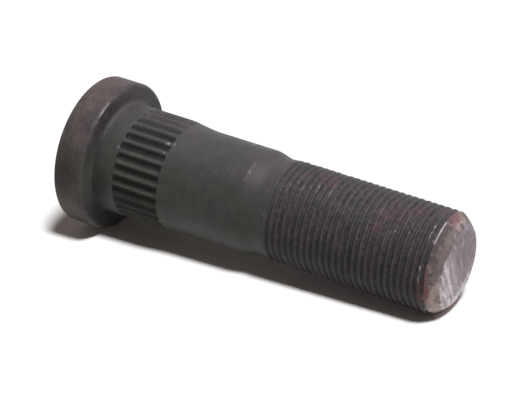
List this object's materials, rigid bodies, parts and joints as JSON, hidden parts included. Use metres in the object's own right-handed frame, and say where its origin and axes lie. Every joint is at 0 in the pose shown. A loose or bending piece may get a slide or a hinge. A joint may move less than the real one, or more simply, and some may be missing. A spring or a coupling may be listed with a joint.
{
  "type": "wheel stud",
  "caption": "Press-in wheel stud: round flat head, serrated collar, plain shank and fine-threaded end, in dark phosphated steel with rust-stained tip and head rim.",
  "frame": {"origin": "centre of the head's outer face, on which the stud stands", "axes": "+Z along the stud's axis, from the head to the threaded tip; X and Y are across it, with a serration groove centred on +X"},
  "size_m": [0.0332, 0.0332, 0.0891],
  "materials": {
    "phosphated_steel": "matte dark phosphate, brown rust tint on the head rim and the thread's tip, bare worn end face"
  },
  "bodies": {
    "root": {"wheel_stud": "phosphated_steel"}
  },
  "joints": []
}
